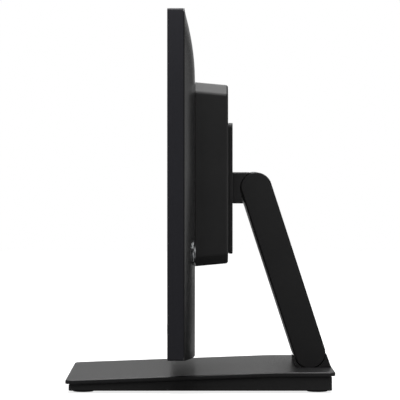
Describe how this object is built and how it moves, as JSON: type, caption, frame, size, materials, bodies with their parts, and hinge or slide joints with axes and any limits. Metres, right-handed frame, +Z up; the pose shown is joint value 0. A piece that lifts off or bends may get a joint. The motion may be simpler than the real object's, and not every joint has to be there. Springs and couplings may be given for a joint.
{
  "type": "all-in-one desktop computer",
  "caption": "Flat screen with the computer in a box on its back, held by a two-hinge folding arm on a flat rectangular base.",
  "frame": {"origin": "on the desk, under the middle of the whole computer, which is also the middle of its base", "axes": "+X to the right of a person facing the screen, +Y behind the screen, +Z up"},
  "size_m": [0.49, 0.2868, 0.4011],
  "materials": {
    "moulded_plastic": "fine moulded grain, satin black",
    "bezel_plastic": "fine moulded grain, blue-black",
    "painted_steel": "satin black powder coat",
    "foot_rubber": "matt black",
    "steel": "turned and zinc plated",
    "bright_steel": "polished",
    "dark_screw": "black zinc plated",
    "zinc_sheet": "pressed zinc-plated sheet",
    "aluminium_fins": "bare, lightly milled",
    "circuit_board": "green solder mask",
    "inner_plastic": "matt black",
    "socket_metal": "nickel plated",
    "display_face": "anti-glare film over a dark screen",
    "camera_lens": "polished dark lens"
  },
  "bodies": {
    "base": {"base_plate": "painted_steel", "base_tray": "moulded_plastic", "base_weight": "steel", "foot_front_left": "foot_rubber", "foot_front_right": "foot_rubber", "foot_rear_left": "foot_rubber", "foot_rear_right": "foot_rubber", "base_hinge_housing": "moulded_plastic", "base_lug_left": "steel", "base_lug_right": "steel", "lug_screw_left": "steel", "lug_screw_right": "steel"},
    "arm": {"arm_front_cover": "moulded_plastic", "arm_rear_cover": "moulded_plastic", "arm_cap_left": "moulded_plastic", "arm_cap_right": "moulded_plastic", "arm_frame": "zinc_sheet", "base_hinge_pin": "steel", "base_disc_springs": "steel", "base_pin_nut": "steel", "head_hinge_pin": "steel", "head_disc_springs": "steel", "head_pin_nut": "steel"},
    "screen": {"front_bezel": "bezel_plastic", "display_panel": "display_face", "webcam_module": "camera_lens", "speaker_left": "inner_plastic", "speaker_right": "inner_plastic", "chassis": "zinc_sheet", "rear_cover": "moulded_plastic", "lock_ring": "bright_steel", "box_cover": "moulded_plastic", "mount_plate": "painted_steel", "mount_screw_1": "dark_screw", "mount_screw_2": "dark_screw", "mount_screw_3": "dark_screw", "mount_screw_4": "dark_screw", "head_bracket": "moulded_plastic", "head_lug_left": "steel", "head_lug_right": "steel", "main_board": "circuit_board", "cpu_cooler": "aluminium_fins", "fan_housing": "inner_plastic", "memory_module_1": "circuit_board", "memory_module_2": "circuit_board", "wireless_card": "circuit_board", "storage_drive": "aluminium_fins", "power_supply": "zinc_sheet", "power_inlet": "inner_plastic", "display_socket": "socket_metal", "lan_socket": "socket_metal", "usb_socket_1": "socket_metal", "usb_socket_2": "socket_metal", "side_usb_1": "socket_metal", "side_usb_2": "socket_metal", "headset_socket": "inner_plastic"},
    "fan": {"fan_wheel": "inner_plastic"},
    "button": {"power_button": "bezel_plastic"},
    "shutter": {"webcam_shutter": "bezel_plastic"}
  },
  "joints": [
    {"name": "base_hinge", "type": "hinge", "parent": "base", "child": "arm", "pos_m": [0, 0.1189, 0.0385], "axis": [1, 0, 0], "range_deg": [-18, 6]},
    {"name": "head_hinge", "type": "hinge", "parent": "arm", "child": "screen", "pos_m": [0, 0.06099, 0.21673], "axis": [1, 0, 0], "range_deg": [-60, 4]},
    {"name": "fan_spin", "type": "hinge", "parent": "screen", "child": "fan", "pos_m": [0.101, 0.006, 0.262], "axis": [0, 1, 0], "continuous": true},
    {"name": "power_button_press", "type": "slide", "parent": "screen", "child": "button", "axis": [0, 1, 0], "range_m": [0, 0.0008], "stiffness_N_per_m": 600, "springref_m": -0.0004},
    {"name": "webcam_shutter_slide", "type": "slide", "parent": "screen", "child": "shutter", "axis": [-1, 0, 0], "range_m": [0, 0.0085]}
  ]
}
